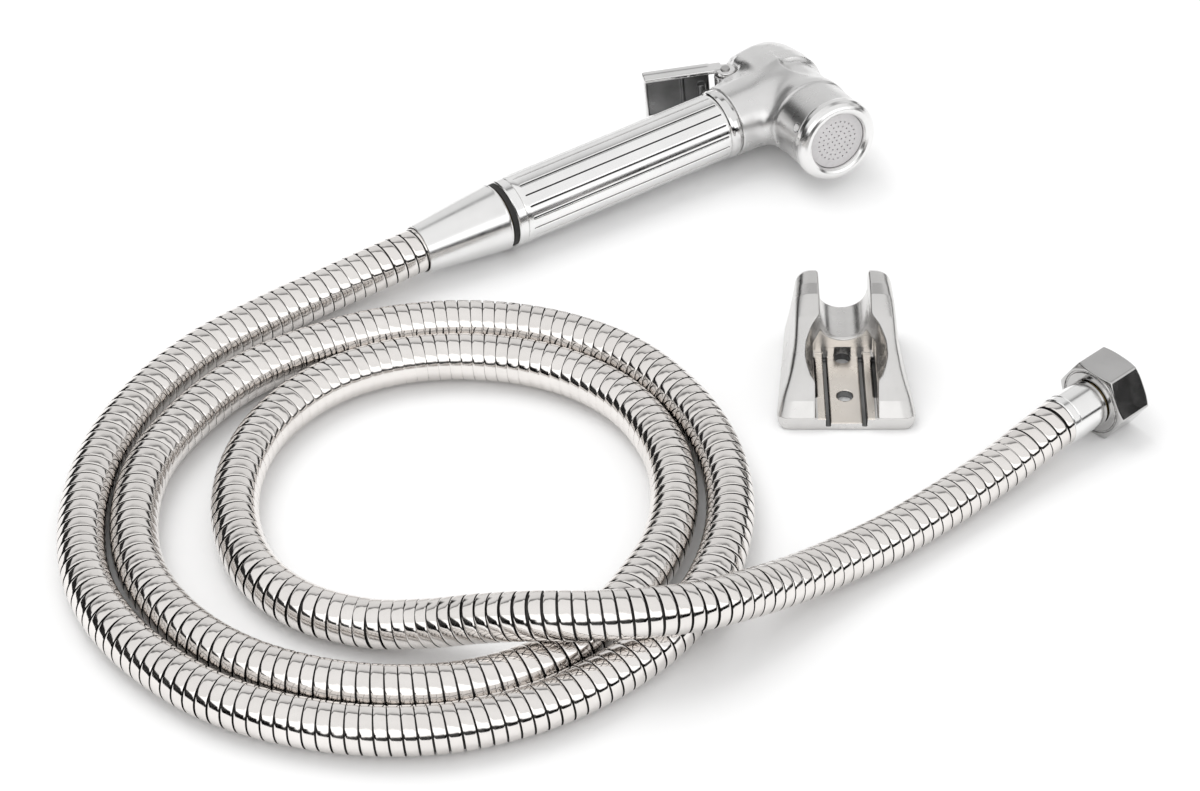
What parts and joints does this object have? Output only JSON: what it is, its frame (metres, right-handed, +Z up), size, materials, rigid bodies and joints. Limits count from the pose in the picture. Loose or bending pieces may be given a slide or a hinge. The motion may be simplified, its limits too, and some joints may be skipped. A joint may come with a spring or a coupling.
{
  "type": "handheld bath sprayer",
  "caption": "Hand sprayer with side lever, fluted grip, angled spray head, coiled metal hose, hex end nut and a slotted wall holder.",
  "frame": {"origin": "middle of the wall holder's back face, which lies flat on Z = 0", "axes": "+Z up off the surface the kit lies on; the holder's length and its two screw holes run along Y, with the tapered seat's wide end at -Y; the handset lies at -X, +Y and the hose coils at -X, -Y"},
  "size_m": [0.3465, 0.3362, 0.0345],
  "materials": {
    "chrome": "polished chrome plate",
    "hose_metal": "interlocked metal bands, polished, dark in the seams",
    "brass": "machined brass",
    "steel": "plain steel",
    "rubber": "black rubber",
    "white_plastic": "moulded plastic",
    "spray_grey": "light grey plastic, satin"
  },
  "bodies": {
    "handset": {"hose": "hose_metal", "hose_sleeve_a": "steel", "hose_nipple_a": "brass", "inlet_washer": "rubber", "inlet_spigot": "brass", "tail_ring": "rubber", "tail_collar": "chrome", "water_tube": "brass", "grip_core": "white_plastic", "grip_sleeve": "chrome", "neck_collar": "chrome", "head_casting": "chrome", "flow_disc": "white_plastic", "face_bezel": "chrome", "plate_seal": "rubber", "spray_plate": "spray_grey", "bezel_screw": "steel", "lever_pin": "steel", "valve_seat": "brass", "valve_spring": "steel", "valve_bonnet": "steel", "stem_o_ring": "rubber", "hose_sleeve_b": "chrome", "hose_nipple_b": "brass", "nut_washer": "rubber"},
    "lever_arm": {"lever": "chrome"},
    "stem": {"valve_stem": "steel", "valve_seal": "rubber"},
    "tail_nut": {"cone_nut": "chrome"},
    "end_nut": {"hex_nut": "chrome"},
    "holder": {"wall_holder": "chrome"}
  },
  "joints": [
    {"name": "lever_press", "type": "hinge", "parent": "handset", "child": "lever_arm", "pos_m": [-0.03491, 0.14039, 0.01307], "axis": [-0.0875, 0.0887, 0.9922], "range_deg": [0, 16], "stiffness_Nm_per_rad": 0.4, "springref_deg": -11.46},
    {"name": "stem_slide", "type": "slide", "parent": "handset", "child": "stem", "axis": [0.5321, -0.8379, 0.1218], "range_m": [0, 0.0022], "deforming": ["valve_spring"]},
    {"name": "cone_nut_spin", "type": "hinge", "parent": "handset", "child": "tail_nut", "pos_m": [-0.12958, 0.06159, 0.01176], "axis": [0.8422, 0.5386, 0.0262], "continuous": true},
    {"name": "hex_nut_spin", "type": "hinge", "parent": "handset", "child": "end_nut", "pos_m": [0.08186, -0.02162, 0.012], "axis": [0.7431, 0.6691, 0], "continuous": true},
    {"name": "holder_lift", "type": "slide", "parent": "handset", "child": "holder", "axis": [0, 0, 1], "range_m": [0, 0.05]}
  ],
  "couplings": [
    {"joint": "stem_slide", "follows": "lever_press", "m_per_rad": 0.007467}
  ]
}
